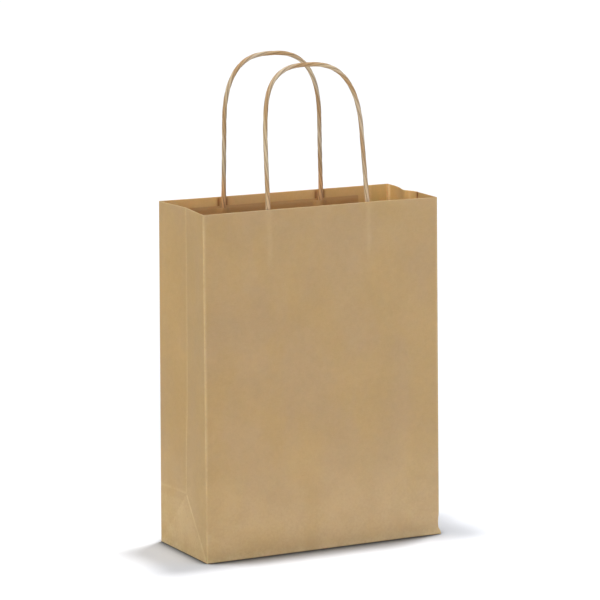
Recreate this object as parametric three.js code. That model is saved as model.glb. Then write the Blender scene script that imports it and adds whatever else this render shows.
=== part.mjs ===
// A kraft paper gift bag with a block bottom, tucked side gussets and two twisted paper handles.
// Millimetres, +Z up. The origin is at the middle of the bag's footprint, on the surface it stands on.
// The front panel faces -Y and the mouth is at the top.
import * as THREE from "three";

// Driving dimensions of the bag.
const WIDTH = 240;
const DEPTH = 98;
const HEIGHT = 320;
const PAPER = 0.25;
const GUSSET_TUCK = 5.5;

// Block bottom: the two long flaps overlap each other, and the end flaps lie on top of them.
const FLAP_OVERLAP = 30;
const END_FLAP_REACH = 62;
const GLUE_LAP = 18;

// Handles: a loop of twisted cord on each long panel, its two feet glued between two patches.
const CORD = 4.4;
const LOOP_WIDTH = 98.5;
const FRONT_LOOP_HEIGHT = 127.5;
const BACK_LOOP_HEIGHT = 130.5;
const LOOP_STRAIGHT = 60;
const LOOP_SQUARENESS = 2.7;
const LOOP_SPLAY = 1.2;
const LOOP_SHIFT = -3.2;
const FRONT_LEAN = 8.8;
const FOOT_DROP = 2.2;
const FOOT_DEPTH = 48;
const FOOT_THICKNESS = 3;
const FOOT_WIDTH = 5.4;

// Patches of brown paper that hold the cord's feet inside the mouth.
const PATCH_WIDTH = 176;
const PATCH_HEIGHT = 44;
const PATCH_DROP = 8.6;
const PATCH_MARGIN = 1.5;
const HUMP_SLOPE = 4;

// Clearances.
const GLUE_GAP = 0.3;
const CREASE_GAP = 0.3;

// Fineness of the round pieces.
const CORD_SIDES = 10;
const ARCH_STEPS = 28;
const LOOP_STEPS = 64;

const UP = new THREE.Vector3(0, 0, 1);
const ACROSS = new THREE.Vector3(1, 0, 0);
const BACKWARD = new THREE.Vector3(0, 1, 0);

const KRAFT = { color: 0xb2956b, roughness: 0.85, metalness: 0 };
const PATCH_PAPER = { color: 0x8c673e, roughness: 0.85, metalness: 0 };
const TWISTED_PAPER = { color: 0xc8a878, roughness: 0.8, metalness: 0 };

const bag = new THREE.Group();

function add(name, geometry, finish, place = new THREE.Matrix4()) {
  const mesh = new THREE.Mesh(geometry, new THREE.MeshStandardMaterial(finish));
  mesh.name = name;
  mesh.applyMatrix4(place);
  bag.add(mesh);
}

// A flat sheet of paper: its outline is given along two directions from a corner,
// and its thickness grows from there towards the inside of the bag.
function addSheet(name, corner, along, rise, inside, outline, finish = KRAFT) {
  const shape = new THREE.Shape(outline.map(([u, v]) => new THREE.Vector2(u, v)));
  const geometry = new THREE.ExtrudeGeometry(shape, { depth: PAPER, bevelEnabled: false });
  const normal = new THREE.Vector3().crossVectors(along, rise).normalize();
  const start = corner.clone();
  if (normal.dot(inside) < 0) {
    start.addScaledVector(normal, -PAPER);
  }
  const place = new THREE.Matrix4().makeBasis(along, rise, normal).setPosition(start);
  add(name, geometry, finish, place);
}

// Front and back panels, upright and as wide as the bag.
function addPanels() {
  for (const [name, side] of [["front_panel", -1], ["back_panel", 1]]) {
    const corner = new THREE.Vector3(-WIDTH / 2, (side * DEPTH) / 2, 0);
    const inside = BACKWARD.clone().multiplyScalar(-side);
    addSheet(name, corner, ACROSS, UP, inside, [[0, 0], [WIDTH, 0], [WIDTH, HEIGHT], [0, HEIGHT]]);
  }
}

// A side gusset is creased down its middle and tucked in. Below the crease the paper is folded along
// two diagonals, which leave a triangle that stands on the bottom edge.
function addGusset(side, label) {
  const edge = DEPTH / 2 - PAPER - GLUE_GAP;
  const inward = ACROSS.clone().multiplyScalar(-side);
  const centre = new THREE.Vector3(side * (WIDTH / 2 - GUSSET_TUCK), 0, 0);
  const half = Math.hypot(edge, GUSSET_TUCK);
  const apex = DEPTH / 2;
  const gap = CREASE_GAP / 2;
  for (const [name, way] of [["front", -1], ["back", 1]]) {
    const corner = new THREE.Vector3((side * WIDTH) / 2, way * edge, 0);
    const along = corner.clone().sub(centre).normalize();
    const slope = apex / half;
    const diagonal = (reach) => apex - slope * reach + CREASE_GAP;
    const lower = way < 0
      ? [[gap, diagonal(gap)], [half, diagonal(half)]]
      : [[gap, apex + gap], [half, apex + gap]];
    const outline = [...lower, [half, HEIGHT], [gap, HEIGHT]];
    addSheet(`${label}_gusset_${name}_half`, centre, along, UP, inward, outline);
    if (way > 0) {
      const fold = [
        [CREASE_GAP + gap, apex - gap],
        [half, apex - gap],
        [half, diagonal(half) + gap],
      ];
      addSheet(`${label}_gusset_back_corner`, centre, along, UP, inward, fold);
    }
  }
  const foot = new THREE.Vector3((side * WIDTH) / 2, 0, 0);
  const rise = new THREE.Vector3(centre.x, 0, apex).sub(foot).normalize();
  const tall = Math.hypot(GUSSET_TUCK, apex);
  const trim = CREASE_GAP * 2;
  const outline = [[-edge + trim, 0], [edge - trim, 0], [0, (tall * (edge - trim)) / edge]];
  addSheet(`${label}_gusset_foot`, foot, BACKWARD, rise, inward, outline);
}

// The strip that closes the tube: the right gusset's paper, turned in and glued to the back panel.
function addGlueLap() {
  const turn = CREASE_GAP + PAPER + GUSSET_TUCK / 4;
  const corner = new THREE.Vector3(WIDTH / 2 - turn, DEPTH / 2 - PAPER - GLUE_GAP, DEPTH / 2);
  const outline = [[0, 0], [-GLUE_LAP, 0], [-GLUE_LAP, HEIGHT - DEPTH / 2], [0, HEIGHT - DEPTH / 2]];
  const inside = BACKWARD.clone().multiplyScalar(-1);
  addSheet("glue_lap", corner, ACROSS, UP, inside, outline);
}

// The bottom: a back flap, a front flap pasted over it, and two end flaps on top, inside the bag.
function addBottom() {
  const layer = PAPER + GLUE_GAP;
  const longHalf = WIDTH / 2 - PAPER - GLUE_GAP;
  const deepHalf = DEPTH / 2 - PAPER - GLUE_GAP;
  const reach = deepHalf + FLAP_OVERLAP / 2;
  for (const [name, side, level] of [["back", 1, 0], ["front", -1, layer]]) {
    const corner = new THREE.Vector3(0, side * deepHalf, level);
    const tip = -side * reach;
    const outline = [[-longHalf, 0], [longHalf, 0], [longHalf - reach, tip], [reach - longHalf, tip]];
    addSheet(`bottom_${name}_flap`, corner, ACROSS, BACKWARD, UP, outline);
  }
  for (const [label, side] of [["left", -1], ["right", 1]]) {
    const corner = new THREE.Vector3(side * longHalf, 0, 2 * layer);
    const tip = -side * END_FLAP_REACH;
    const slant = END_FLAP_REACH / 4;
    const outline = [[0, -deepHalf], [0, deepHalf], [tip, deepHalf - slant], [tip, slant - deepHalf]];
    addSheet(`bottom_${label}_end_flap`, corner, ACROSS, BACKWARD, UP, outline);
  }
}

// A loop's centreline, from one foot up, over its squarish arch and down to the other foot.
function loopCurve(height) {
  const points = [new THREE.Vector3(-LOOP_WIDTH / 2 - LOOP_SPLAY, 0, 0)];
  for (let step = 0; step <= ARCH_STEPS; step += 1) {
    const turn = (Math.PI * step) / ARCH_STEPS;
    const across = -Math.sign(Math.cos(turn)) * Math.abs(Math.cos(turn)) ** (2 / LOOP_SQUARENESS);
    const rise = Math.abs(Math.sin(turn)) ** (2 / LOOP_SQUARENESS);
    const level = LOOP_STRAIGHT + (height - LOOP_STRAIGHT) * rise;
    points.push(new THREE.Vector3((across * LOOP_WIDTH) / 2, 0, level));
  }
  points.push(new THREE.Vector3(LOOP_WIDTH / 2 + LOOP_SPLAY, 0, 0));
  return new THREE.CatmullRomCurve3(points, false, "centripetal");
}

function ellipse(width, thickness, sides) {
  const outline = [];
  for (let corner = 0; corner < sides; corner += 1) {
    const turn = (2 * Math.PI * corner) / sides;
    outline.push(new THREE.Vector2((width / 2) * Math.cos(turn), (thickness / 2) * Math.sin(turn)));
  }
  return new THREE.Shape(outline);
}

// One handle: its loop turns about the panel's top edge, and its feet stay glued under the patch.
function addHandle(label, side, height, lean) {
  const cordOffset = PAPER + GLUE_GAP + CORD / 2;
  const footOffset = 2 * (PAPER + GLUE_GAP) + FOOT_THICKNESS / 2;
  const spread = LOOP_WIDTH / 2 + LOOP_SPLAY;
  const loop = new THREE.ExtrudeGeometry(ellipse(CORD, CORD, CORD_SIDES), {
    steps: LOOP_STEPS,
    bevelEnabled: false,
    extrudePath: loopCurve(height),
  });
  const place = new THREE.Matrix4()
    .makeTranslation(LOOP_SHIFT, (side * DEPTH) / 2, HEIGHT)
    .multiply(new THREE.Matrix4().makeRotationX(THREE.MathUtils.degToRad(side * lean)))
    .multiply(new THREE.Matrix4().makeTranslation(0, -side * cordOffset, 0));
  add(`${label}_handle_loop`, loop, TWISTED_PAPER, place);

  for (const [name, way] of [["left", -1], ["right", 1]]) {
    const foot = new THREE.ExtrudeGeometry(ellipse(FOOT_WIDTH, FOOT_THICKNESS, CORD_SIDES), {
      depth: FOOT_DEPTH - FOOT_DROP,
      bevelEnabled: false,
    });
    const x = LOOP_SHIFT + way * spread;
    const y = side * (DEPTH / 2 - footOffset);
    const spot = new THREE.Matrix4().makeTranslation(x, y, HEIGHT - FOOT_DEPTH);
    add(`${label}_cord_${name}_foot`, foot, TWISTED_PAPER, spot);
  }
  addPatches(label, side, [LOOP_SHIFT - spread, LOOP_SHIFT + spread]);
}

// The base patch is glued to the panel, and the cover patch humps over the two feet.
function addPatches(label, side, feet) {
  const inside = BACKWARD.clone().multiplyScalar(-side);
  const bottom = HEIGHT - PATCH_DROP - PATCH_HEIGHT;
  const base = new THREE.Vector3(-PATCH_WIDTH / 2, side * (DEPTH / 2 - PAPER - GLUE_GAP), bottom);
  const outline = [[0, 0], [PATCH_WIDTH, 0], [PATCH_WIDTH, PATCH_HEIGHT], [0, PATCH_HEIGHT]];
  addSheet(`${label}_handle_base_patch`, base, ACROSS, UP, inside, outline, PATCH_PAPER);

  const low = PAPER + 2 * GLUE_GAP;
  const high = low + FOOT_THICKNESS + GLUE_GAP;
  const flat = FOOT_WIDTH / 2;
  const end = PATCH_WIDTH / 2 - PATCH_MARGIN;
  const ridge = [[-end, low]];
  for (const foot of feet) {
    ridge.push([foot - flat - HUMP_SLOPE, low], [foot - flat, high]);
    ridge.push([foot + flat, high], [foot + flat + HUMP_SLOPE, low]);
  }
  ridge.push([end, low]);
  const profile = [...ridge, ...ridge.map(([x, depth]) => [x, depth + PAPER]).reverse()];
  const shape = new THREE.Shape(profile.map(([x, depth]) => new THREE.Vector2(x, -side * depth)));
  const height = PATCH_HEIGHT - 2 * PATCH_MARGIN;
  const cover = new THREE.ExtrudeGeometry(shape, { depth: height, bevelEnabled: false });
  const spot = new THREE.Matrix4()
    .makeTranslation(0, side * (DEPTH / 2 - PAPER), bottom + PATCH_MARGIN);
  add(`${label}_handle_cover_patch`, cover, PATCH_PAPER, spot);
}

addPanels();
addGusset(-1, "left");
addGusset(1, "right");
addGlueLap();
addBottom();
addHandle("front", -1, FRONT_LOOP_HEIGHT, FRONT_LEAN);
addHandle("back", 1, BACK_LOOP_HEIGHT, 0);

export default bag;
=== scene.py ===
"""A kraft paper gift bag with a block bottom, tucked side gussets and two twisted paper handles."""

import math

import bpy
import numpy as np
from bpy.props import FloatProperty, FloatVectorProperty, PointerProperty
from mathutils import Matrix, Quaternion, Vector


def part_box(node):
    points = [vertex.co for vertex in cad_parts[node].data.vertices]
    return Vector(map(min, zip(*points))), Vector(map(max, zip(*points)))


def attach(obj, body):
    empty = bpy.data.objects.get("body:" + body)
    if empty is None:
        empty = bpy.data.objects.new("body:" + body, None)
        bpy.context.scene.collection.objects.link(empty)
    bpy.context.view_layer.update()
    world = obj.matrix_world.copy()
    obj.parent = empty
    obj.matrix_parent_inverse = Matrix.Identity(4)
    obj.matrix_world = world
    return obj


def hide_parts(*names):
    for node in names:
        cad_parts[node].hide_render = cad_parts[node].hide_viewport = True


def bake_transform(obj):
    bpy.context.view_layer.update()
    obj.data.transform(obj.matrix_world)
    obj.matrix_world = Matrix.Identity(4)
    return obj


bl_info = {
    "name": "Kraft Gift Bag",
    "version": (1, 0, 0),
    "blender": (4, 5, 0),
    "location": "View3D > Sidebar > Gift Bag",
    "description": "Builds a kraft paper gift bag round its packed frame",
    "category": "Add Mesh",
}

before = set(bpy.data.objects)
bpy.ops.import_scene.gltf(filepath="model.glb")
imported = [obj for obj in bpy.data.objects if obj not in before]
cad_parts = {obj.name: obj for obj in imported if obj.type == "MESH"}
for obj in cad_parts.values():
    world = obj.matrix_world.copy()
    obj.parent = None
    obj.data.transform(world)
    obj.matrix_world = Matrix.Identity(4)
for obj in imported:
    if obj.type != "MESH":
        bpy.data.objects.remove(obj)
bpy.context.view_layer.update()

MM = 0.001

# The folded sheet's own sizes, as the frame has them.
FRONT_LOW, FRONT_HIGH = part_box("front_panel")
HALF_WIDTH = FRONT_HIGH.x
HALF_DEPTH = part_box("back_panel")[1].y
TOP = FRONT_HIGH.z
PAPER = FRONT_HIGH.y - FRONT_LOW.y
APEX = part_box("left_gusset_back_half")[0].z
TUCK = HALF_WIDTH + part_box("left_gusset_front_half")[1].x - PAPER
SIDES = {"front": -1, "back": 1}
ENDS = {"left": -1, "right": 1}


# ---------------------------------------------------------------- sizes and colours


class BagSizes(bpy.types.PropertyGroup):
    """The sizes that change the look of the folded paper and the cords."""

    crease_radius: FloatProperty(
        name="Crease radius", description="How round the upright corner creases are",
        default=0.9 * MM, min=0.3 * MM, max=3 * MM, unit="LENGTH",
    )
    panel_bow: FloatProperty(
        name="Panel bow", description="How far a long panel bows out in its middle",
        default=1.4 * MM, min=0, max=6 * MM, unit="LENGTH",
    )
    ripple: FloatProperty(
        name="Ripple", description="Height of the small uneven waves in the paper",
        default=0.28 * MM, min=0, max=1 * MM, unit="LENGTH",
    )
    apex_height: FloatProperty(
        name="Apex height", description="How high the slanting bottom creases meet on a side",
        default=APEX + 6.0 * MM, min=20 * MM, max=90 * MM, unit="LENGTH",
    )
    gusset_tuck: FloatProperty(
        name="Gusset tuck", description="How far a side's middle crease is tucked in at the mouth",
        default=TUCK, min=0, max=30 * MM, unit="LENGTH",
    )
    twist_length: FloatProperty(
        name="Twist length", description="Length of cord in which its paper turns once round",
        default=62 * MM, min=10 * MM, max=200 * MM, unit="LENGTH",
    )
    fold_depth: FloatProperty(
        name="Fold depth", description="Depth of the spiral folds in the twisted cord",
        default=0.5 * MM, min=0, max=1 * MM, unit="LENGTH",
    )


class BagColours(bpy.types.PropertyGroup):
    """The colours of the three papers."""

    kraft: FloatVectorProperty(
        name="Kraft", description="Brown paper of the folded sheet", subtype="COLOR",
        default=(0.405, 0.271, 0.130), min=0, max=1,
    )
    # The inner side's colour is also lightened as painted light, for light that doesn't reach the inside of
    # the bag.
    kraft_inner: FloatVectorProperty(
        name="Inner kraft", description="Unglazed inner side of the folded sheet", subtype="COLOR",
        default=(0.66, 0.44, 0.19), min=0, max=1,
    )
    # Also the colour of the painted highlights and lit facets that the crease masks carry.
    kraft_worn_and_lit: FloatVectorProperty(
        name="Worn kraft", description="Brown paper where a crease has rubbed it pale", subtype="COLOR",
        default=(0.62, 0.47, 0.265), min=0, max=1,
    )
    # The patches lie inside the bag, and their colour is also lightened as painted light.
    patch: FloatVectorProperty(
        name="Patch", description="Darker paper of the handle patches", subtype="COLOR",
        default=(0.55, 0.31, 0.13), min=0, max=1,
    )
    cord_pale: FloatVectorProperty(
        name="Pale cord", description="Twisted cord where its paper is pale", subtype="COLOR",
        default=(0.475, 0.372, 0.25), min=0, max=1,
    )
    # The back cords' strong reddening just over the rim is painted warm light reflected from the bag's orange
    # inside.
    cord_root_and_reflection: FloatVectorProperty(
        name="Cord root", description="Twisted cord reddened by damp glue at the rim", subtype="COLOR",
        default=(0.66, 0.36, 0.17), min=0, max=1,
    )
    cord_warm: FloatVectorProperty(
        name="Warm cord", description="Twisted cord where its paper is more orange", subtype="COLOR",
        default=(0.37, 0.225, 0.105), min=0, max=1,
    )
    floor: FloatVectorProperty(
        name="Floor", description="Plain pale floor", subtype="COLOR",
        default=(0.72, 0.725, 0.75), min=0, max=1,
    )


def sizes():
    return bpy.context.scene.bag_sizes


def colours():
    return bpy.context.scene.bag_colours


# ---------------------------------------------------------------- numbers over a grid

# An even grid line makes way for a close one that stands within this share of a step.
CROWDED = 0.3
# Each wave's length in metres, and the way it runs over the sheet in radians.
WAVES = ((0.31, 0.3), (0.19, 1.2), (0.127, 2.3), (0.083, 0.9), (0.059, 2.8))


def ramp(value, low, high):
    """0 up to low, 1 from high, smooth between."""
    share = np.clip((value - low) / (high - low), 0.0, 1.0)
    return share * share * (3.0 - 2.0 * share)


def bell(value, middle, width):
    """1 at the middle, and next to nothing two widths away from it."""
    return np.exp(-(((value - middle) / width) ** 2))


def most(*masks):
    return np.maximum.reduce(masks)


def soft_min(first, second, blend):
    """The smaller of two heights, with the corner between them rounded over blend."""
    share = np.clip(0.5 + 0.5 * (second - first) / blend, 0.0, 1.0)
    return second + (first - second) * share - blend * share * (1.0 - share)


def lines(low, high, step, near_low=(), near_high=()):
    """Grid lines about a step apart, with closer ones at the given distances from the two ends."""
    count = max(2, round((high - low) / step)) + 1
    even = np.linspace(low, high, count)
    close = [low + d for d in near_low] + [high - d for d in near_high]
    keep = [v for v in even if all(abs(v - c) > CROWDED * step for c in close) or v in (low, high)]
    return np.array(sorted(set(keep) | set(close)))


def wander(across, up, seed):
    """Slow uneven waves over a sheet, from -1 to 1. across and up are in metres."""
    waves = 0.0
    for k, (length, turn) in enumerate(WAVES):
        phase = seed * (1.7 + 0.9 * k)
        along = across * math.cos(turn + seed) + up * math.sin(turn + seed)
        waves = waves + np.sin(2 * math.pi * along / length + phase) / (1.0 + 0.45 * k)
    return waves / 3.0


# ---------------------------------------------------------------- how the standing bag has settled

# Two corners have moved. How far each has gone to the right at its rim and foot, and up, in millimetres.
LEFT_BACK_RIM, LEFT_BACK_FOOT, LEFT_BACK_UP = 1.5, -1.1, 0.4
RIGHT_FRONT_RIM, RIGHT_FRONT_FOOT, RIGHT_FRONT_UP = -0.8, 1.2, -0.8
SHIFT_START = 62 * MM
# A little past 1, for the paper that bulges past its corner.
SHIFT_LIMIT = 1.05
# The right front corner is pushed out in a small foot, with a slight hollow above it, in millimetres.
FLARE_OUT, FLARE_HOLLOW = 1.5, 0.6
FLARE_ALONG_FRONT = 34 * MM
FLARE_ALONG_SIDE = 30 * MM
FLARE_FORWARD_SHARE = 0.8


def settle(points):
    """Moves points of the ideal folded box to where the standing bag has them."""
    x, y, z = points[..., 0], points[..., 1], points[..., 2]
    behind = np.clip(0.5 + 0.5 * y / HALF_DEPTH, 0.0, 1.0)
    high = z / TOP
    left_back = np.clip((-x - SHIFT_START) / (HALF_WIDTH - SHIFT_START), 0.0, SHIFT_LIMIT) * behind
    right_front = np.clip((x - SHIFT_START) / (HALF_WIDTH - SHIFT_START), 0.0, SHIFT_LIMIT) * (1 - behind)
    shift = np.zeros_like(points)
    shift[..., 0] += left_back * (LEFT_BACK_RIM * high + LEFT_BACK_FOOT * (1 - high)) * MM
    shift[..., 0] += right_front * (RIGHT_FRONT_FOOT * (1 - high) + RIGHT_FRONT_RIM * high) * MM
    shift[..., 2] += (LEFT_BACK_UP * left_back + RIGHT_FRONT_UP * right_front) * high * MM
    beside = ramp(x, HALF_WIDTH - FLARE_ALONG_FRONT, HALF_WIDTH)
    beside = beside * ramp(-y, HALF_DEPTH - FLARE_ALONG_SIDE, HALF_DEPTH)
    flare = FLARE_OUT * ramp(z, 6 * MM, 2.2 * MM)
    hollow = FLARE_HOLLOW * bell(z, 11 * MM, 6 * MM)
    foot = beside * (flare - hollow) * MM
    shift[..., 0] += foot
    shift[..., 1] -= FLARE_FORWARD_SHARE * foot
    return points + shift


# ---------------------------------------------------------------- meshes


def mesh_object(name, points, faces, masks, sharp_degrees=50):
    """A mesh in the scene. masks are values per point that its material reads by name."""
    mesh = bpy.data.meshes.new(name)
    mesh.from_pydata([tuple(p) for p in points], [], faces)
    for mask, values in masks.items():
        vector = values.ndim == 2
        attribute = mesh.attributes.new(mask, "FLOAT_VECTOR" if vector else "FLOAT", "POINT")
        attribute.data.foreach_set("vector" if vector else "value", values.astype(np.float32).ravel())
    mesh.validate()
    mesh.shade_smooth()
    mesh.set_sharp_from_angle(angle=math.radians(sharp_degrees))
    made = bpy.data.objects.new(name, mesh)
    bpy.context.scene.collection.objects.link(made)
    return made


def unit(vectors):
    return vectors / np.maximum(np.linalg.norm(vectors, axis=-1, keepdims=True), 1e-12)


def grid_normals(grid):
    return unit(np.cross(np.gradient(grid, axis=1), np.gradient(grid, axis=0)))


def sheet_object(name, grid, facing, masks, inner_masks=None):
    """A closed thin sheet of paper. The grid is its outer face, and facing points roughly out of it.

    masks go on both faces. A mask in inner_masks goes on the inner face in its place.
    """
    inner_masks = inner_masks or {}
    normals = grid_normals(grid)
    if (normals * np.array(facing)).sum() < 0:
        grid = grid[:, ::-1]
        masks = {key: value[:, ::-1] for key, value in masks.items()}
        inner_masks = {key: value[:, ::-1] for key, value in inner_masks.items()}
        normals = grid_normals(grid)
    inner = grid - normals * PAPER
    rows, columns = grid.shape[:2]
    count = rows * columns
    index = np.arange(count).reshape(rows, columns)
    a, b, c, d = index[:-1, :-1], index[:-1, 1:], index[1:, 1:], index[1:, :-1]
    outside = np.stack([a, b, c, d], -1).reshape(-1, 4)
    inside = np.stack([d, c, b, a], -1).reshape(-1, 4) + count
    rim = np.concatenate([index[0, :], index[1:, -1], index[-1, -2::-1], index[-2:0:-1, 0]])
    after = np.roll(rim, -1)
    cut = np.stack([after, rim, rim + count, after + count], -1)
    faces = np.concatenate([outside, inside, cut]).tolist()
    points = np.concatenate([grid.reshape(-1, 3), inner.reshape(-1, 3)])
    both = {key: np.tile(value.ravel(), 2) for key, value in masks.items()}
    both["inner"] = np.repeat([0.0, 1.0], count)
    for key, value in inner_masks.items():
        both[key] = np.concatenate([masks.get(key, np.zeros(count)).ravel(), value.ravel()])
    return mesh_object(name, points, faces, both)


def finish_piece(piece, material, body, slot, *nodes):
    piece.data.materials.append(material)
    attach(piece, body)
    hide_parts(*nodes)
    return piece


# ---------------------------------------------------------------- shader nodes

# The three lays of pulp fibres: how fine along x, y and z, and their turn in radians.
FIBRE_LAYS = (
    ((2100.0, 2100.0, 260.0), (0.12, 0.0, 0.2)),
    ((330.0, 330.0, 2300.0), (0.5, 0.3, 0.0)),
    ((420.0, 2300.0, 1500.0), (0.4, 0.9, 0.7)),
)
YELLOWER = (1.01, 1.0, 0.93, 1)
PINKER = (0.995, 1.0, 1.05, 1)
# How much of the patch colour is left in each channel where painted shade darkens the paper.
PAINTED_SHADE_SHARES = (0.48, 0.32, 0.26)
# How strongly that painted shade is laid on.
PAINTED_SHADE_STRENGTH = 0.9
# How much paler the inner face's worn colour is; it also paints the highlight strip inside the right side.
INNER_WORN_AND_LIT_GAIN = 1.5
# How strongly painted shade darkens a cord's spiral grooves, and how much of the warm cord colour is left in
# it.
GROOVE_STRENGTH = 0.95
GROOVE_SHADE = 0.36


def put(tree, kind, sockets=None, **settings):
    """Adds a node. Each socket is given a value, or the output that feeds it."""
    made = tree.nodes.new(kind)
    for key, value in settings.items():
        setattr(made, key, value)
    for key, source in (sockets or {}).items():
        if isinstance(source, bpy.types.NodeSocket):
            tree.links.new(source, made.inputs[key])
        else:
            made.inputs[key].default_value = source
    return made


def colour_mix(tree, share, first, second, blend_type="MIX"):
    sockets = {0: share, 6: first, 7: second}
    return put(tree, "ShaderNodeMix", sockets, data_type="RGBA", blend_type=blend_type).outputs[2]


def plus(tree, first, second):
    return put(tree, "ShaderNodeMath", {0: first, 1: second}, operation="ADD").outputs[0]


def minus(tree, first, second):
    return put(tree, "ShaderNodeMath", {0: first, 1: second}, operation="SUBTRACT").outputs[0]


def times(tree, first, second):
    return put(tree, "ShaderNodeMath", {0: first, 1: second}, operation="MULTIPLY").outputs[0]


def from_to(tree, value, low, high, to_low=0.0, to_high=1.0):
    sockets = {"Value": value, "From Min": low, "From Max": high, "To Min": to_low, "To Max": to_high}
    return put(tree, "ShaderNodeMapRange", sockets, interpolation_type="SMOOTHSTEP").outputs[0]


def stretched(tree, vector, scale, turn=(0.0, 0.0, 0.0)):
    sockets = {"Vector": vector, "Scale": scale, "Rotation": turn}
    return put(tree, "ShaderNodeMapping", sockets).outputs[0]


def noise(tree, vector, scale=1.0, detail=2.0, roughness=0.5, distortion=0.0):
    sockets = {
        "Vector": vector,
        "Scale": scale,
        "Detail": detail,
        "Roughness": roughness,
        "Distortion": distortion,
    }
    return put(tree, "ShaderNodeTexNoise", sockets).outputs["Fac"]


def raised(tree, height, strength, distance):
    sockets = {"Height": height, "Strength": strength, "Distance": distance}
    return put(tree, "ShaderNodeBump", sockets).outputs[0]


def mask_of(tree, name, output="Fac"):
    return put(tree, "ShaderNodeAttribute", attribute_name=name).outputs[output]


def use_group(tree, group, sockets):
    return put(tree, "ShaderNodeGroup", sockets, node_tree=group).outputs


def node_group(name, inputs, outputs):
    tree = bpy.data.node_groups.new(name, "ShaderNodeTree")
    for label, kind, default in inputs:
        socket = tree.interface.new_socket(name=label, in_out="INPUT", socket_type=kind)
        if default is not None:
            socket.default_value = default
    for label, kind in outputs:
        tree.interface.new_socket(name=label, in_out="OUTPUT", socket_type=kind)
    start = tree.nodes.new("NodeGroupInput")
    end = tree.nodes.new("NodeGroupOutput")
    return tree, start.outputs, end.inputs


def fibre_group():
    """Pressed paper pulp: cloudy patches, fine fibres in all directions and a few dark flecks."""
    found = bpy.data.node_groups.get("paper_fibre")
    if found:
        return found
    tree, given, result = node_group(
        "paper_fibre",
        [
            ("Place", "NodeSocketVector", None),
            ("Pulp", "NodeSocketColor", (0.45, 0.3, 0.15, 1)),
            ("Cloud", "NodeSocketFloat", 0.12),
            ("Fibre", "NodeSocketFloat", 0.2),
            ("Fleck", "NodeSocketFloat", 0.3),
        ],
        [("Color", "NodeSocketColor"), ("Height", "NodeSocketFloat"), ("Roughness", "NodeSocketFloat")],
    )
    place = given["Place"]
    broad = noise(tree, place, 21.0, detail=3.0, roughness=0.55, distortion=0.4)
    cloudy = noise(tree, place, 190.0, detail=3.0, roughness=0.6, distortion=0.3)
    upright, level, slanting = (
        noise(tree, stretched(tree, place, fineness, turn), roughness=0.6, distortion=0.5)
        for fineness, turn in FIBRE_LAYS
    )
    threads = times(tree, plus(tree, plus(tree, upright, level), slanting), 1.0 / 3.0)
    cloud = plus(tree, times(tree, broad, 0.6), times(tree, cloudy, 0.4))
    cloud_shade = times(tree, minus(tree, cloud, 0.5), given["Cloud"])
    thread_shade = times(tree, minus(tree, threads, 0.5), given["Fibre"])
    shade = plus(tree, plus(tree, cloud_shade, thread_shade), 1.0)
    # Flecks are specks that show only where a broader noise lets them.
    fleck_place = stretched(tree, place, (520.0, 520.0, 310.0), (0.3, 0.5, 0.1))
    spots = put(tree, "ShaderNodeTexVoronoi", {"Vector": fleck_place, "Scale": 1.0, "Randomness": 1.0})
    speck = from_to(tree, spots.outputs["Distance"], 0.13, 0.05)
    rare = from_to(tree, noise(tree, place, 130.0, detail=1.0), 0.5, 0.62)
    fleck_shade = times(tree, times(tree, speck, rare), given["Fleck"])
    shade = minus(tree, shade, fleck_shade)
    scaled = put(tree, "ShaderNodeVectorMath", {0: given["Pulp"], "Scale": shade}, operation="SCALE")
    # Some pulp is a little pinker and some a little yellower.
    slow_place = stretched(tree, place, (22.0, 22.0, 12.0))
    slow = noise(tree, slow_place, detail=3.0, roughness=0.55, distortion=0.5)
    hue = colour_mix(tree, from_to(tree, slow, 0.36, 0.64), YELLOWER, PINKER)
    mottled = colour_mix(tree, 1.0, scaled.outputs[0], hue, "MULTIPLY")
    tree.links.new(mottled, result["Color"])
    tree.links.new(plus(tree, times(tree, threads, 0.7), times(tree, cloudy, 0.3)), result["Height"])
    tree.links.new(from_to(tree, threads, 0.3, 0.7, 0.9, 0.72), result["Roughness"])
    return tree


def wear_and_light_group():
    """Rubbed paper and painted light: paler and uneven where the mask says a crease, a cut edge, a painted
    highlight or a lit facet is.
    """
    found = bpy.data.node_groups.get("wear_and_painted_light")
    if found:
        return found
    tree, given, result = node_group(
        "wear_and_painted_light",
        [
            ("Place", "NodeSocketVector", None),
            ("Color", "NodeSocketColor", (0.45, 0.3, 0.15, 1)),
            ("Worn", "NodeSocketColor", (0.6, 0.45, 0.27, 1)),
            ("Mask", "NodeSocketFloat", 0.0),
            ("Patchiness", "NodeSocketFloat", 0.5),
        ],
        [("Color", "NodeSocketColor"), ("Worn Share", "NodeSocketFloat")],
    )
    fine = noise(tree, given["Place"], 420.0, detail=3.0, roughness=0.65)
    long = noise(tree, given["Place"], 45.0)
    uneven = from_to(tree, times(tree, fine, long), 0.12, 0.36)
    spared = times(tree, given["Patchiness"], minus(tree, 1.0, uneven))
    share = times(tree, given["Mask"], minus(tree, 1.0, spared))
    tree.links.new(colour_mix(tree, share, given["Color"], given["Worn"]), result["Color"])
    tree.links.new(share, result["Worn Share"])
    return tree


def blank_material(name):
    material = bpy.data.materials.new(name)
    material.use_nodes = True
    tree = material.node_tree
    tree.nodes.clear()
    surface = tree.nodes.new("ShaderNodeBsdfPrincipled")
    end = tree.nodes.new("ShaderNodeOutputMaterial")
    tree.links.new(surface.outputs[0], end.inputs["Surface"])
    return material, tree, surface


def opaque(colour):
    return (*colour, 1.0)


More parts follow.
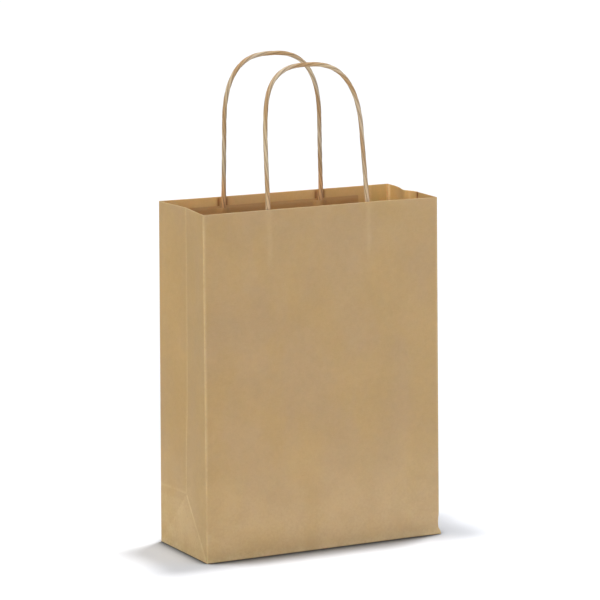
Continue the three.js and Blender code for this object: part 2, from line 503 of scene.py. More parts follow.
def paper_material(name, pulp, inner_pulp, worn, inner_worn, cloud, bump):
    """Matte paper, with its own colours on a sheet's inner face."""
    found = bpy.data.materials.get(name)
    if found:
        return found
    material, tree, surface = blank_material(name)
    place = tree.nodes.new("ShaderNodeTexCoord").outputs["Object"]
    tone = colour_mix(tree, mask_of(tree, "inner"), opaque(pulp), opaque(inner_pulp))
    # The glue mask carries painted shade: beside the cords under the rim, and in the right side's short
    # crease.
    glued = times(tree, mask_of(tree, "glue"), PAINTED_SHADE_STRENGTH)
    damp = [share * c for share, c in zip(PAINTED_SHADE_SHARES, colours().patch)]
    tone = colour_mix(tree, glued, tone, opaque(damp))
    pulp_look = {"Place": place, "Pulp": tone, "Cloud": cloud, "Fibre": 0.26, "Fleck": 0.16}
    fibre = use_group(tree, fibre_group(), pulp_look)
    # The worn colours also paint the highlights and lit facets that the crease mask carries.
    rubbed = colour_mix(tree, mask_of(tree, "inner"), opaque(worn), opaque(inner_worn))
    wear_look = {"Place": place, "Color": fibre["Color"], "Worn": rubbed, "Mask": mask_of(tree, "crease")}
    wear = use_group(tree, wear_and_light_group(), wear_look)
    tree.links.new(wear["Color"], surface.inputs["Base Color"])
    tree.links.new(fibre["Roughness"], surface.inputs["Roughness"])
    tree.links.new(raised(tree, fibre["Height"], bump, 0.12 * MM), surface.inputs["Normal"])
    surface.inputs["Specular IOR Level"].default_value = 0.3
    surface.inputs["Subsurface Weight"].default_value = 0.5
    surface.inputs["Subsurface Radius"].default_value = (1.0, 0.6, 0.3)
    surface.inputs["Subsurface Scale"].default_value = 0.5 * MM
    return material


def kraft_material():
    tint = colours()
    pale = [min(1.0, INNER_WORN_AND_LIT_GAIN * c) for c in tint.kraft_worn_and_lit]
    return paper_material(
        "kraft_paper", tint.kraft, tint.kraft_inner, tint.kraft_worn_and_lit, pale, cloud=0.34, bump=0.5
    )


def patch_material():
    """Worn patch paper lies between the patch's own colour and worn kraft."""
    tint = colours()
    worn = [0.6 * own + 0.4 * pale for own, pale in zip(tint.patch, tint.kraft_worn_and_lit)]
    return paper_material("patch_paper", tint.patch, tint.patch, worn, worn, cloud=0.26, bump=0.6)


def cord_material():
    """Twisted paper. Its lay vector follows the strands round and along the cord."""
    found = bpy.data.materials.get("twisted_paper")
    if found:
        return found
    tint = colours()
    material, tree, surface = blank_material("twisted_paper")
    place = mask_of(tree, "lay", "Vector")
    turned = mask_of(tree, "strand")
    patchy = noise(tree, stretched(tree, place, (90.0, 90.0, 17.0)))
    mixed = plus(tree, times(tree, turned, 0.4), patchy)
    warm = from_to(tree, mixed, 0.45, 1.0)
    base = colour_mix(tree, warm, opaque(tint.cord_pale), opaque(tint.cord_warm))
    # On the back cords this reddening is painted reflection of the bag's orange inside.
    base = colour_mix(tree, mask_of(tree, "root"), base, opaque(tint.cord_root_and_reflection))
    pulp_look = {"Place": place, "Pulp": base, "Cloud": 0.2, "Fibre": 0.36, "Fleck": 0.12}
    fibre = use_group(tree, fibre_group(), pulp_look)
    # Painted shade darkens the cord's spiral grooves.
    dark = [GROOVE_SHADE * c for c in tint.cord_warm]
    grooved = times(tree, mask_of(tree, "groove"), GROOVE_STRENGTH)
    shaded = colour_mix(tree, grooved, fibre["Color"], opaque(dark))
    wrinkle = noise(tree, stretched(tree, place, (1900.0, 1900.0, 60.0)), roughness=0.6)
    height = plus(tree, fibre["Height"], wrinkle)
    tree.links.new(shaded, surface.inputs["Base Color"])
    tree.links.new(fibre["Roughness"], surface.inputs["Roughness"])
    tree.links.new(raised(tree, height, 0.6, 0.2 * MM), surface.inputs["Normal"])
    surface.inputs["Specular IOR Level"].default_value = 0.35
    return material


# ---------------------------------------------------------------- the folded sheet

FOOT_BOXES = {
    (label, end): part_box(f"{label}_cord_{end}_foot") for label in SIDES for end in ENDS
}
FOOT_X = {key: (low.x + high.x) / 2 for key, (low, high) in FOOT_BOXES.items()}
FOOT_BOTTOM = FOOT_BOXES[("front", "left")][0].z

# Grid lines over half of a rounded corner: its middle is at 45 degrees, and the wall's face at 90.
CORNER_TURNS = (45.0, 56.0, 67.5, 79.0)
CORNER_COLUMNS = (0.6 * MM, 1.3 * MM, 2.2 * MM)
CORD_COLUMNS = np.arange(-6.0, 6.1, 0.75) * MM
FOLD_RADIUS = 1.1 * MM
FOLD_ROWS = (0.06 * MM, 0.16 * MM, 0.34 * MM, 0.6 * MM, 0.85 * MM, 1.1 * MM, 1.6 * MM)
# The sine of the fold's last turn: just short of a quarter, so that its lowest cells aren't flat.
FOLD_LIMIT = 0.985
RIM_ROWS = (0.35 * MM, 0.8 * MM)
PANEL_STEP = 3.2 * MM
GUSSET_CELLS = 96

PANEL_SEEDS = {"front": 0.8, "back": 2.6}
GUSSET_SEEDS = {"left": 1.3, "right": 3.4}
# The paper's waves are this share as high at the stiff rim.
RIM_WAVES = 0.25
CORD_RIDGE = 0.34 * MM
DENT_X, DENT_Z = 107 * MM, 21 * MM
DENT_SLOPE = math.radians(34)
DENT_DEPTH = 0.6 * MM

# Where the right side's mouth bends: the middle of its bend, and of the short crease before it.
MOUTH_BEND_Y = 6 * MM
SHADED_CREASE_Y = -10 * MM


def rounded_ends(middle, radius):
    """Adds half of a rounded corner to both ends of a wall's grid lines, and says how far in each lies."""
    turn = np.radians(CORNER_TURNS)
    past = radius * np.cos(turn)
    inset = radius * (1.0 - np.sin(turn))
    across = np.concatenate([middle[0] - past, middle, (middle[-1] + past)[::-1]])
    inward = np.concatenate([inset, np.zeros(len(middle)), inset[::-1]])
    return across, inward


def panel_columns(radius, cords):
    """A long panel's grid lines between its rounded corners, closer over the cords under it."""
    flat = HALF_WIDTH - radius
    middle = lines(-flat, flat, PANEL_STEP, CORNER_COLUMNS, CORNER_COLUMNS)
    close = np.concatenate([x + CORD_COLUMNS for x in cords])
    clear = np.min(np.abs(middle[:, None] - close), axis=1) > 0.7 * MM
    return np.sort(np.concatenate([middle[clear], close]))


def foot_turn(z):
    """How far a wall's lowest edge turns in under the bag at its fold."""
    low = np.clip((FOLD_RADIUS - z) / FOLD_RADIUS, 0.0, FOLD_LIMIT)
    return FOLD_RADIUS * (1.0 - np.sqrt(1.0 - low**2))


def rim_mask(z):
    """Rubbing along the cut rim."""
    return 0.55 * ramp(z, TOP - 0.8 * MM, TOP - 0.3 * MM)


def bottom_mask(z):
    """Rubbing along the bottom fold, fading up the wall, and painted light that makes the lower part of the
    wall lighter.
    """
    fold = 0.2 * ramp(z, 2.2 * MM, 1.2 * MM)
    scuffed = 0.3 * ramp(z, 8 * MM, 2 * MM)
    # Painted light, lighter towards the bottom of the wall.
    painted_light_low = 0.33 * ramp(z, 130 * MM, 0.0)
    return fold + scuffed + painted_light_low


def foot_painted_light(y, z):
    """Painted light: the folded-in triangle and corner at the foot of a side are lighter than the rest."""
    share = z / sizes().apex_height + np.abs(y) / HALF_DEPTH
    triangle = 0.1 * ramp(share, 1.03, 0.97)
    back_corner = 0.12 * ramp(z, APEX, APEX - 4 * MM) * ramp(y, -4 * MM, 12 * MM)
    return triangle + back_corner


def dent_line(x, z):
    """A slanting dent by the front panel's lower right corner."""
    off = (z - DENT_Z) * math.cos(DENT_SLOPE) - (x - DENT_X) * math.sin(DENT_SLOPE)
    along = (x - DENT_X) * math.cos(DENT_SLOPE) + (z - DENT_Z) * math.sin(DENT_SLOPE)
    return bell(off, 0.0, 2.2 * MM) * bell(along, 2 * MM, 13 * MM)


def panel_outward(label, x, z):
    """How far a long panel stands out of its plane: a bow, waves, a ridge over each cord and a dent."""
    size = sizes()
    seed = PANEL_SEEDS[label]
    edge = ramp(HALF_WIDTH - np.abs(x), 1.0 * MM, 26 * MM)
    foot = ramp(z, 2 * MM, 40 * MM)
    mouth = RIM_WAVES + (1 - RIM_WAVES) * ramp(TOP - z, 0.0, 90 * MM)
    bow = np.cos(0.5 * math.pi * x / HALF_WIDTH) * np.sin(math.pi * np.clip(z / TOP, 0, 1)) ** 0.8
    uneven = 0.75 + 0.35 * np.sin(9 * x + 11 * z + seed)
    out = size.panel_bow * bow * uneven
    out = out + size.ripple * wander(x, z, seed) * edge * foot * mouth * 2.2
    for end in ENDS:
        cord = bell(x, FOOT_X[(label, end)], 4.2 * MM)
        span = ramp(z, FOOT_BOTTOM - 6 * MM, FOOT_BOTTOM + 6 * MM) * ramp(TOP - z, -3 * MM, 5 * MM)
        out = out + CORD_RIDGE * cord * span
    if label == "front":
        out = out + DENT_DEPTH * dent_line(x, z)
    return out * edge


def make_panel(label):
    side = SIDES[label]
    radius = sizes().crease_radius
    cords = [FOOT_X[(label, end)] for end in ENDS]
    across, inward = rounded_ends(panel_columns(radius, cords), radius)
    x, z = np.meshgrid(across, lines(0.0, TOP, PANEL_STEP, FOLD_ROWS, RIM_ROWS))
    depth = np.broadcast_to(HALF_DEPTH - inward, x.shape) + panel_outward(label, x, z) - foot_turn(z)
    grid = settle(np.stack([x, side * depth, z], -1))
    corner = 0.5 * ramp(np.abs(x), HALF_WIDTH - 3.0 * MM, HALF_WIDTH - 0.8 * MM)
    corner = corner * (0.8 + 0.2 * ramp(z, 60 * MM, 0.0))
    ridge = 0.16 * sum(bell(x, cord, 2.4 * MM) for cord in cords)
    ridge = ridge * ramp(z, FOOT_BOTTOM - 8 * MM, FOOT_BOTTOM + 8 * MM)
    crease = most(corner, bottom_mask(z), ridge, rim_mask(z))
    # Painted highlight along the slanting dent.
    if label == "front":
        crease = most(crease, 0.35 * dent_line(x, z))
    # Painted shade on both sides of each cord, just under the rim, on the wall's inner face.
    beside = sum(bell(np.abs(x - cord), 4.0 * MM, 1.6 * MM) for cord in cords)
    glue = beside * ramp(TOP - z, 0.3 * MM, 1.2 * MM) * ramp(TOP - z, 14 * MM, 11 * MM)
    piece = sheet_object(f"{label}_wall", grid, (0, side, 0), {"crease": crease}, {"glue": glue})
    return finish_piece(piece, kraft_material(), "bag", "kraft", f"{label}_panel")


def regular_tuck(y, z):
    """The tucked side: one upright crease above the apex and two slanting ones under it."""
    apex = sizes().apex_height
    share = soft_min(z / apex, 1.0 - np.abs(y) / HALF_DEPTH, 0.035)
    deepen = 0.64 + 0.36 * ramp(z, apex, apex + 120 * MM)
    return np.maximum(share, 0.0) * deepen


def right_mouth_tuck(y):
    """The right side's mouth is squeezed into an uneven bend, sharper towards the front."""
    behind = bell(y, MOUTH_BEND_Y, 15 * MM) * (y >= MOUTH_BEND_Y)
    before = bell(y, MOUTH_BEND_Y, 7 * MM) * (y < MOUTH_BEND_Y)
    return behind + before - 0.16 * bell(y, SHADED_CREASE_Y, 1.7 * MM)


def mouth_crease_shade(y, z):
    """Painted shade in the short crease on the inner side of the right gusset, just under its rim."""
    return 1.2 * bell(y, SHADED_CREASE_Y, 1.6 * MM) * ramp(z, TOP - 11 * MM, TOP - 5 * MM)


def gusset_inward(end, y, z):
    """How far a side lies in from the plane of its two corners."""
    size = sizes()
    share = regular_tuck(y, z)
    if end == "right":
        mouth = ramp(z, TOP - 110 * MM, TOP - 6 * MM)
        share = share * (1 - mouth) + right_mouth_tuck(y) * mouth
    level = bell(z, size.apex_height, 1.1 * MM) * ramp(y, 0.5 * MM, 3 * MM)
    edge = ramp(HALF_DEPTH - np.abs(y), 1.0 * MM, 12 * MM)
    above_foot = ramp(z, 2 * MM, 20 * MM)
    waves = size.ripple * wander(y, z, GUSSET_SEEDS[end]) * edge * above_foot * 1.5
    return size.gusset_tuck * share + 0.22 * MM * level + waves


def gusset_crease(y, z):
    """How worn the paper is at the gusset's creases."""
    apex = sizes().apex_height
    width = 1.2 * MM
    above = ramp(z, apex - 2 * MM, apex + 1 * MM)
    upright = (0.34 + 0.2 * ramp(z, 200 * MM, apex)) * bell(y, 0.0, width) * above
    off = (np.abs(y) - HALF_DEPTH * (1 - z / apex)) * math.sin(math.atan2(apex, HALF_DEPTH))
    slanting = bell(off, 0.0, width) * (1 - above) * np.where(y < 0, 0.95, 0.16)
    level = 0.42 * bell(z, apex, width) * ramp(y, -0.5 * MM, 1.5 * MM)
    return most(upright, slanting, level)


def gusset_rows(flat, radius):
    """Rows spaced so that the slanting creases run from corner to corner of the grid's cells."""
    cell = 2 * flat / GUSSET_CELLS
    rise = cell * sizes().apex_height / HALF_DEPTH
    slanting = (np.arange(1, GUSSET_CELLS // 2 + 1) + radius / cell) * rise
    lower = np.concatenate([[0.0], FOLD_ROWS, slanting[slanting > 2 * MM]])
    upper = lines(lower[-1] + 3 * MM, TOP, 4 * MM, (), RIM_ROWS)
    return np.concatenate([lower, upper])


def make_gusset(end):
    side = ENDS[end]
    radius = sizes().crease_radius
    flat = HALF_DEPTH - radius
    across, inward = rounded_ends(np.linspace(-flat, flat, GUSSET_CELLS + 1), radius)
    y, z = np.meshgrid(across, gusset_rows(flat, radius))
    depth = np.broadcast_to(inward, y.shape) + gusset_inward(end, y, z) + foot_turn(z)
    grid = settle(np.stack([side * (HALF_WIDTH - depth), y, z], -1))
    corner = 0.55 * ramp(np.abs(y), HALF_DEPTH - 1.9 * MM, HALF_DEPTH - 0.35 * MM)
    crease = most(corner, gusset_crease(y, z), bottom_mask(z) + foot_painted_light(y, z), rim_mask(z))
    inner = {}
    if end == "right":
        # Its inner side has a painted highlight in a strip by the back corner, and painted shade in the short
        # crease by the bend.
        strip = 1.1 * bell(y, HALF_DEPTH - 3.2 * MM, 2.6 * MM) * ramp(z, TOP - 70 * MM, TOP - 20 * MM)
        inner = {"crease": most(crease, strip), "glue": mouth_crease_shade(y, z)}
    piece = sheet_object(f"{end}_gusset", grid, (side, 0, 0), {"crease": crease}, inner)
    nodes = [f"{end}_gusset_{part}" for part in ("front_half", "back_half", "back_corner", "foot")]
    return finish_piece(piece, kraft_material(), "bag", "kraft", *nodes)


def make_glue_lap():
    """The strip that closes the tube, glued flat inside the back panel."""
    low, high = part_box("glue_lap")
    x, z = np.meshgrid(lines(low.x, high.x, 3 * MM), lines(low.z, high.z, 4 * MM))
    y = high.y + panel_outward("back", x, z)
    grid = settle(np.stack([x, y, z], -1))
    crease = 0.5 * ramp(x, low.x + 1.0 * MM, low.x)
    piece = sheet_object("lap_strip", grid, (0, 1, 0), {"crease": crease})
    return finish_piece(piece, kraft_material(), "bag", "kraft", "glue_lap")


def make_bottom_flap(node, inward_axis, side):
    """A flap of the block bottom, from the fold where it joins a wall to its narrower free edge."""
    low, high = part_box(node)
    fold, free = low[inward_axis], high[inward_axis]
    if side > 0:
        fold, free = free, fold
    reach = abs(free - fold)
    half = high[1 - inward_axis]
    # The long flaps are cut at 45 degrees, and the end flaps a quarter as much.
    slant = reach if inward_axis == 1 else reach / 4
    v = np.linspace(0.0, 1.0, max(8, round(reach / (4 * MM))))
    u = np.linspace(-1.0, 1.0, max(8, round(2 * half / (5 * MM))))
    share, along = np.meshgrid(v, u, indexing="ij")
    across = along * (half - slant * share)
    inward = fold + (free - fold) * share
    waves = 1 + wander(across, inward, 0.7 + 1.9 * side + inward_axis)
    z = low.z + 0.06 * MM * waves * ramp(share, 0.02, 0.2)
    if low.z < 0.3 * MM:
        # The flap that lies on the floor turns up where it folds into the wall.
        z = z + 0.5 * MM * ramp(share * reach, 1.2 * MM, 0.0)
    points = [across, inward] if inward_axis == 1 else [inward, across]
    grid = settle(np.stack([*points, z], -1))
    crease = most(0.5 * ramp(share * reach, 2 * MM, 0.3 * MM), 0.4 * ramp(share, 0.985, 1.0))
    piece = sheet_object(f"{node}_paper", grid, (0, 0, -1), {"crease": crease})
    return finish_piece(piece, kraft_material(), "bag", "kraft", node)


# ---------------------------------------------------------------- handle patches

# The cover patch's hump over a cord: its width, and how much fuller it is than a plain bell.
HUMP_WIDTH = 4.4 * MM
HUMP_FULLNESS = 1.25
# Over a cord, the patch follows the panel's own shape only in part.
HUMP_STIFFNESS = 0.6


def patch_edge(x, z, low, high):
    """Rubbing along the four cut edges of a patch."""
    border = np.minimum(np.minimum(x - low.x, high.x - x), np.minimum(z - low.z, high.z - z))
    return 0.6 * ramp(border, 0.9 * MM, 0.0)


def make_base_patch(label):
    """The patch that lies flat on the panel, under the cord's ends."""
    side = SIDES[label]
    low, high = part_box(f"{label}_handle_base_patch")
    x, z = np.meshgrid(lines(low.x, high.x, 3 * MM), lines(low.z, high.z, 3 * MM))
    out = max(abs(low.y), abs(high.y)) + panel_outward(label, x, z)
    grid = settle(np.stack([x, side * out, z], -1))
    crease = patch_edge(x, z, low, high)
    piece = sheet_object(f"{label}_patch_base", grid, (0, side, 0), {"crease": crease})
    return finish_piece(piece, patch_material(), "bag", "patch", f"{label}_handle_base_patch")


def make_cover_patch(label):
    """The patch that is bent over the cord's ends and glued down between and beside them."""
    side = SIDES[label]
    low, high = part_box(f"{label}_handle_cover_patch")
    x, z = np.meshgrid(lines(low.x, high.x, 1.1 * MM), lines(low.z, high.z, 3 * MM))
    thick = abs(high.y - low.y) - PAPER
    hump = sum(bell(x, FOOT_X[(label, end)], HUMP_WIDTH) for end in ENDS)
    hump = np.clip(HUMP_FULLNESS * hump, 0.0, 1.0)
    pinch = 1.0 - 0.25 * ramp(z, low.z + 8 * MM, low.z)
    out = max(abs(low.y), abs(high.y)) - thick * hump * pinch
    out = out + panel_outward(label, x, z) * (1 - HUMP_STIFFNESS * hump)
    grid = settle(np.stack([x, side * out, z], -1))
    crease = most(patch_edge(x, z, low, high), 0.25 * hump)
    piece = sheet_object(f"{label}_patch_cover", grid, (0, side, 0), {"crease": crease})
    return finish_piece(piece, patch_material(), "bag", "patch", f"{label}_handle_cover_patch")


# ---------------------------------------------------------------- twisted cords

CORD_RADIUS = 2.08 * MM
# A glued foot is pressed to an oval bar, that much wider and thinner than the round cord.
FOOT_WIDE = 5.4 / 4.4
FOOT_THIN = 3.0 / 4.4
# The loop's top is a squared-off arc: 2 would be an ellipse.
SQUARENESS = 2.7
STRAIGHT_LEG = 60 * MM
# How far a loop leans inwards in degrees, and its height over the rim.
LEANS = {"front": 8.8, "back": 0.0}
HEIGHTS = {"front": 127.5 * MM, "back": 130.5 * MM}
# Slight bends of a leg to the right: which leg, how far, how high over the rim and how long.
LEG_BENDS = {
    "front": ((-1, 2.0 * MM, 84 * MM, 30 * MM), (1, 0.9 * MM, 68 * MM, 34 * MM)),
    "back": (),
}
CORD_INSET = PAPER + 2.5 * MM
# The back's much stronger reddening is painted reflection of the bag's orange inside.
ROOT_REDNESS = {"front": 0.2, "back": 0.85}
FOLDS = 4
ROUND = 30
RING_STEP = 1.1 * MM


def evenly(path, step):
    """The same path with its points an even step apart, and how far along it each is."""
    gone = np.concatenate([[0.0], np.cumsum(np.linalg.norm(np.diff(path, axis=0), axis=1))])
    at = np.linspace(0.0, gone[-1], round(gone[-1] / step) + 1)
    return np.stack([np.interp(at, gone, path[:, k]) for k in range(3)], -1), at


def smoothed(path, times_over):
    for _ in range(times_over):
        path[1:-1] = 0.25 * path[:-2] + 0.5 * path[1:-1] + 0.25 * path[2:]
    return path


def cord_path(label):
    """One cord's middle line, from its left end under the patch, over the loop and down to its right end."""
    side = SIDES[label]
    left, right = FOOT_X[(label, "left")], FOOT_X[(label, "right")]
    middle, foot_half = (left + right) / 2, (right - left) / 2
    half = foot_half - 1.2 * MM
    turn = np.radians(np.linspace(0, 180, 181))
    across = -np.sign(np.cos(turn)) * np.abs(np.cos(turn)) ** (2 / SQUARENESS) * half
    arc_height = HEIGHTS[label] - STRAIGHT_LEG
    rise = STRAIGHT_LEG + arc_height * np.abs(np.sin(turn)) ** (2 / SQUARENESS)
    across = np.concatenate([[-foot_half], across, [foot_half]])
    rise = np.concatenate([[0.0], rise, [0.0]])
    # Small uneven bends that the twisted paper keeps.
    sway = 0.5 * MM * np.sin(across / (17 * MM) + side) * ramp(rise, 20 * MM, 90 * MM)
    for leg, shift, height, spread in LEG_BENDS[label]:
        across = across + shift * bell(rise, height, spread) * (leg * across > 20 * MM)
    lean = math.radians(LEANS[label])
    up = rise * math.cos(lean) + CORD_INSET * math.sin(lean)
    out = HALF_DEPTH - CORD_INSET * math.cos(lean) - rise * math.sin(lean) + sway
    loop = np.stack([middle + across, side * out, TOP + up], -1)
    foot_y = side * (HALF_DEPTH - CORD_INSET + 0.15 * MM)
    under = [np.array([x, foot_y, FOOT_BOTTOM]) for x in (left, right)]
    neck = [np.array([x, foot_y, TOP - 4 * MM]) for x in (left, right)]
    path = np.concatenate([[under[0], neck[0]], loop, [neck[1], under[1]]])
    path, _ = evenly(path, RING_STEP / 2)
    path = smoothed(path, 40)
    return evenly(path, RING_STEP)


def make_cord(label):
    size = sizes()
    side = SIDES[label]
    path, at = cord_path(label)
    tangent = unit(np.gradient(path, axis=0))
    outward = np.array([0.0, float(side), 0.0])
    first = unit(np.cross(tangent, outward))
    second = unit(np.cross(first, tangent))
    angle = np.linspace(0, 2 * math.pi, ROUND, endpoint=False)
    # The strands turn the same way all along, at a pace that wanders a little.
    spin = 2 * math.pi * (at / size.twist_length + 0.11 * np.sin(at / (31 * MM) + side))
    a, s = np.meshgrid(angle, spin)
    local = a - s
    along = np.broadcast_to(at[:, None], local.shape)
    fold = np.abs(np.sin(0.5 * FOLDS * local + 0.35 * np.sin(local)))
    groove = (1 - fold) ** 3
    swell = 0.05 * np.sin(along / (9 * MM) + local) + 0.03 * np.sin(along / (4.3 * MM) - 2 * local)
    radius = CORD_RADIUS * (1 + 0.5 * swell) - size.fold_depth * groove
    z = path[:, 2][:, None]
    flat = 1 - ramp(z, TOP - 4 * MM, TOP + 10 * MM)
    wide = radius * np.cos(a) * (1 + (FOOT_WIDE - 1) * flat)
    thin = radius * np.sin(a) * (1 + (FOOT_THIN - 1) * flat)
    points = path[:, None] + (wide[..., None] * first[:, None] + thin[..., None] * second[:, None])
    rows = len(path)
    index = np.arange(rows * ROUND).reshape(rows, ROUND)
    after = np.roll(index, -1, axis=1)
    quads = np.stack([index[:-1], after[:-1], after[1:], index[1:]], -1).reshape(-1, 4)
    caps = [index[0][::-1].tolist(), index[-1].tolist()]
    lay = np.stack([radius * np.cos(local), radius * np.sin(local), along], -1)
    strand = 0.5 + 0.5 * np.cos(local - 0.6)
    # Reddening just over the rim; on the back cords it is painted reflection of the bag's inside.
    root = np.broadcast_to(ROOT_REDNESS[label] * ramp(z, TOP + 28 * MM, TOP + 2 * MM), local.shape)
    masks = {
        "groove": groove.ravel(),
        "strand": strand.ravel(),
        "root": root.ravel(),
        "lay": lay.reshape(-1, 3),
    }
    piece = mesh_object(f"{label}_twisted_cord", points.reshape(-1, 3), quads.tolist() + caps, masks, 70)
    # Rings that turn against the way the cord runs leave its faces inside out.
    ring_axis = np.cross(points[0, 1] - path[0], points[0, 2] - path[0])
    if ring_axis @ tangent[0] < 0:
        piece.data.flip_normals()
    piece.data.materials.append(cord_material())
    nodes = [f"{label}_handle_loop"] + [f"{label}_cord_{end}_foot" for end in ENDS]
    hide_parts(*nodes)
    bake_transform(piece)
    return piece


# ---------------------------------------------------------------- stage

CAMERA_AZIMUTH = -26.816
CAMERA_ELEVATION = 9.874
CAMERA_ROLL = -0.420
CAMERA_DISTANCE = 3.12336
CAMERA_LENS = 202.75
CAMERA_TARGET = Vector((0.001239, 0.0, 0.225507))

# Far softboxes: azimuth, elevation and how wide they look, in degrees, then strength and tint.
LAMPS = {
    "overhead_right": (114, 79.8, 6, 2.2, (1, 1, 1)),
    "overhead_left": (-121, 81.6, 6, 1.65, (1, 1, 1)),
    "front_fill": (-16, 8, 34, 1.86, (1.0, 0.975, 0.93)),
    "left_fill": (-78, 9, 34, 1.2, (1.0, 0.97, 0.79)),
}
CARD_PLACE = Vector((0.85, -0.55, 0.28))
CARD_AIM = Vector((0.05, 0, 0.2))
CARD_WIDTH = 0.5
CARD_POWER = 2.4
CARD_TINT = (0.4, 0.62, 1.0)
ROOM_LIGHT = 0.15
ROOM_TINT = (0.82, 0.91, 1, 1)

FLOOR_SPAN = 30.0
FLOOR_LINES = 9
# Just under the bag, so that the two surfaces don't meet.
FLOOR_LEVEL = -0.02 * MM
# The floor's painted contact shadow beside what stands on it: its reach, the open share that is fully dark
# and the one that is clear, and how much of the floor's colour is left.
CONTACT_SHADES = ((26 * MM, 0.25, 1.0, 0.38), (12 * MM, 0.45, 0.95, 0.12))


def away(azimuth, elevation):
    """Unit vector from the bag towards a place that far round from the front, and that far up, in degrees."""
    a, e = math.radians(azimuth), math.radians(elevation)
    return Vector((math.sin(a) * math.cos(e), -math.cos(a) * math.cos(e), math.sin(e)))


def aimed(name, data, place, direction):
    """An object at a place that looks along a direction, as a camera or a lamp does."""
    made = bpy.data.objects.new(name, data)
    bpy.context.scene.collection.objects.link(made)
    made.location = place
    made.rotation_mode = "QUATERNION"
    made.rotation_quaternion = direction.to_track_quat("-Z", "Y")
    return made


def make_camera():
    data = bpy.data.cameras.new("camera")
    data.lens = CAMERA_LENS
    data.sensor_width = 36.0
    data.clip_end = 100.0
    back = away(CAMERA_AZIMUTH, CAMERA_ELEVATION)
    camera = aimed("camera", data, CAMERA_TARGET + back * CAMERA_DISTANCE, -back)
    roll = Quaternion((0, 0, 1), math.radians(CAMERA_ROLL))
    camera.rotation_quaternion = camera.rotation_quaternion @ roll
    bpy.context.scene.camera = camera


def make_lamp(name, azimuth, elevation, softness, strength, tint):
    """A far softbox."""
    light = bpy.data.lights.new(name, "SUN")
    light.angle = math.radians(softness)
    light.energy = strength
    light.color = tint
    back = away(azimuth, elevation)
    aimed(name, light, back * 3.0, -back)


def make_card():
    """A near, cool reflector card that lights one end of the bag more than the other."""
    light = bpy.data.lights.new("right_card", "AREA")
    light.size = CARD_WIDTH
    light.energy = CARD_POWER
    light.color = CARD_TINT
    card = aimed("right_card", light, CARD_PLACE, CARD_AIM - CARD_PLACE)
    card.visible_camera = False


def make_world():
    """Even light from all round. What shows of the room behind the floor is plain white."""
    scene = bpy.context.scene
    scene.world = scene.world or bpy.data.worlds.new("studio")
    scene.world.use_nodes = True
    tree = scene.world.node_tree
    tree.nodes.clear()
    seen = put(tree, "ShaderNodeBackground", {"Color": (1, 1, 1, 1), "Strength": 1.0})
    lighting = put(tree, "ShaderNodeBackground", {"Color": ROOM_TINT, "Strength": ROOM_LIGHT})
    ray = tree.nodes.new("ShaderNodeLightPath").outputs["Is Camera Ray"]
    either = put(tree, "ShaderNodeMixShader", {0: ray, 1: lighting.outputs[0], 2: seen.outputs[0]})
    end = tree.nodes.new("ShaderNodeOutputWorld")
    tree.links.new(either.outputs[0], end.inputs["Surface"])


def make_floor():
    side = np.linspace(-FLOOR_SPAN, FLOOR_SPAN, FLOOR_LINES)
    x, y = np.meshgrid(side, side)
    points = np.stack([x, y, np.full_like(x, FLOOR_LEVEL)], -1).reshape(-1, 3)
    index = np.arange(FLOOR_LINES * FLOOR_LINES).reshape(FLOOR_LINES, FLOOR_LINES)
    faces = np.stack([index[:-1, :-1], index[:-1, 1:], index[1:, 1:], index[1:, :-1]], -1)
    floor = mesh_object("floor", points, faces.reshape(-1, 4).tolist(), {})
    material, tree, surface = blank_material("floor_white")
    place = tree.nodes.new("ShaderNodeTexCoord").outputs["Object"]
    faint = noise(tree, place, 3.0)
    tint = colours().floor
    tone = colour_mix(tree, from_to(tree, faint, 0.3, 0.7), opaque(tint), opaque([0.99 * c for c in tint]))
    for reach, dark_at, clear_at, left in CONTACT_SHADES:
        open_share = put(tree, "ShaderNodeAmbientOcclusion", {"Distance": reach}, samples=12).outputs["AO"]
        clear = from_to(tree, open_share, dark_at, clear_at)
        tone = colour_mix(tree, clear, opaque([left * c for c in tint]), tone)
    tree.links.new(tone, surface.inputs["Base Color"])
    surface.inputs["Roughness"].default_value = 0.9
    surface.inputs["Specular IOR Level"].default_value = 0.1
    floor.data.materials.append(material)


# ---------------------------------------------------------------- operators


class GIFTBAG_OT_stage(bpy.types.Operator):
    """Sets up the floor, the soft studio light and the camera"""

    bl_idname = "giftbag.stage"
    bl_label = "Stage"

    def execute(self, context):
        context.scene.view_settings.view_transform = "Standard"
        make_world()
        make_floor()
        for name, look in LAMPS.items():
            make_lamp(name, *look)
        make_card()
        make_camera()
        return {"FINISHED"}


class GIFTBAG_OT_walls(bpy.types.Operator):
    """Builds the two long panels of the folded sheet"""

    bl_idname = "giftbag.walls"
    bl_label = "Front and back walls"

    def execute(self, context):
        for label in SIDES:
            make_panel(label)
        return {"FINISHED"}


class GIFTBAG_OT_gussets(bpy.types.Operator):
    """Builds the two tucked sides of the folded sheet"""

    bl_idname = "giftbag.gussets"
    bl_label = "Side gussets"

    def execute(self, context):
        for end in ENDS:
            make_gusset(end)
        return {"FINISHED"}


class GIFTBAG_OT_glue_lap(bpy.types.Operator):
    """Builds the strip that closes the tube"""

    bl_idname = "giftbag.glue_lap"
    bl_label = "Glue lap"

    def execute(self, context):
        make_glue_lap()
        return {"FINISHED"}


class GIFTBAG_OT_bottom(bpy.types.Operator):
    """Builds the four pasted flaps of the block bottom"""

    bl_idname = "giftbag.bottom"
    bl_label = "Block bottom"

    def execute(self, context):
        for label, side in SIDES.items():
            make_bottom_flap(f"bottom_{label}_flap", 1, side)
        for end, side in ENDS.items():
            make_bottom_flap(f"bottom_{end}_end_flap", 0, side)
        return {"FINISHED"}


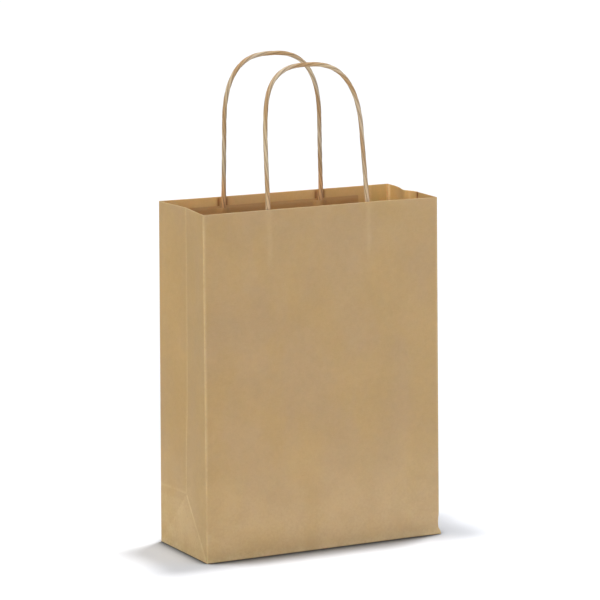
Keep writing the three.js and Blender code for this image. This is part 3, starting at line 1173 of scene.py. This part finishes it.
class GIFTBAG_OT_patches(bpy.types.Operator):
    """Builds the base and cover patches that hold the handles"""

    bl_idname = "giftbag.patches"
    bl_label = "Handle patches"

    def execute(self, context):
        for label in SIDES:
            make_base_patch(label)
            make_cover_patch(label)
        return {"FINISHED"}


class GIFTBAG_OT_cords(bpy.types.Operator):
    """Builds the two twisted paper cords and their bend at the rim"""

    bl_idname = "giftbag.cords"
    bl_label = "Twisted cords"

    def execute(self, context):
        for label in SIDES:
            make_cord(label)
        return {"FINISHED"}


OPERATORS = (
    GIFTBAG_OT_stage,
    GIFTBAG_OT_walls,
    GIFTBAG_OT_gussets,
    GIFTBAG_OT_glue_lap,
    GIFTBAG_OT_bottom,
    GIFTBAG_OT_patches,
    GIFTBAG_OT_cords,
)


class GIFTBAG_PT_sidebar(bpy.types.Panel):
    """Lists the bag's pieces, sizes and colours"""

    bl_label = "Gift Bag"
    bl_idname = "GIFTBAG_PT_sidebar"
    bl_space_type = "VIEW_3D"
    bl_region_type = "UI"
    bl_category = "Gift Bag"

    def draw(self, context):
        for group in (context.scene.bag_sizes, context.scene.bag_colours):
            for name in group.bl_rna.properties.keys():
                if name not in ("rna_type", "name"):
                    self.layout.prop(group, name)
        for operator in OPERATORS:
            self.layout.operator(operator.bl_idname)


CLASSES = (BagSizes, BagColours, *OPERATORS, GIFTBAG_PT_sidebar)


def register():
    for made in CLASSES:
        bpy.utils.register_class(made)
    bpy.types.Scene.bag_sizes = PointerProperty(type=BagSizes)
    bpy.types.Scene.bag_colours = PointerProperty(type=BagColours)


def unregister():
    del bpy.types.Scene.bag_colours
    del bpy.types.Scene.bag_sizes
    for made in reversed(CLASSES):
        bpy.utils.unregister_class(made)


def main():
    register()
    bpy.ops.giftbag.stage()
    bpy.ops.giftbag.walls()
    bpy.ops.giftbag.gussets()
    bpy.ops.giftbag.glue_lap()
    bpy.ops.giftbag.bottom()
    bpy.ops.giftbag.patches()
    bpy.ops.giftbag.cords()


if __name__ == "__main__":
    main()
